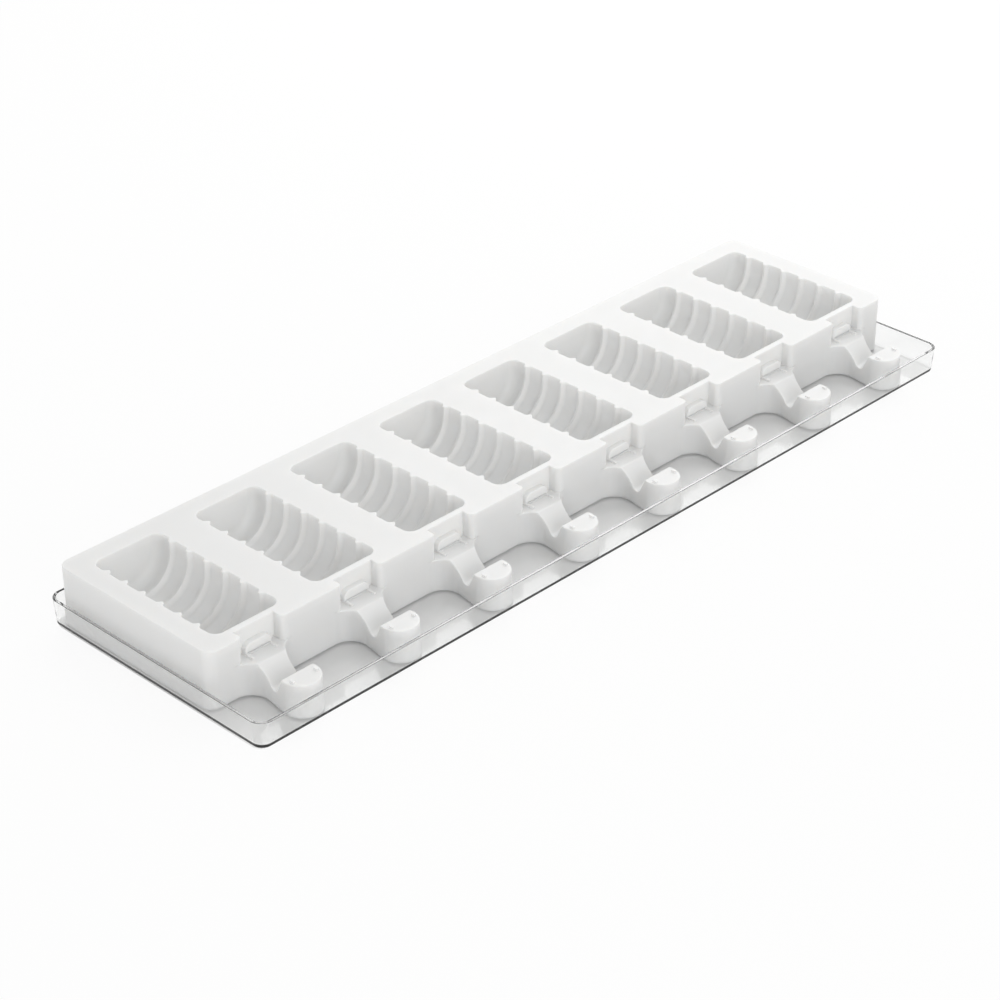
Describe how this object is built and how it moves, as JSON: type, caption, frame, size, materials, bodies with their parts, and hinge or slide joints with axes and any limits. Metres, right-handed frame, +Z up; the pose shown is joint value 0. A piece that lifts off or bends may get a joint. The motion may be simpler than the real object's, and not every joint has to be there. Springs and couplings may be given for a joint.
{
  "type": "ice pop mould with tray",
  "caption": "Soft white ice pop mould with a row of fluted lying cavities, each with a notched stick rest and finger valley, standing in a shallow clear tray.",
  "frame": {"origin": "middle of the tray's underside, on the surface it stands on", "axes": "+X along the row of cavities, +Y from the stick rests to the cavities' far ends, +Z up"},
  "size_m": [0.4084, 0.124, 0.027],
  "materials": {
    "silicone": "satin",
    "clear_plastic": "clear and polished"
  },
  "bodies": {
    "root": {"silicone_mould": "silicone", "clear_tray": "clear_plastic"}
  },
  "joints": []
}
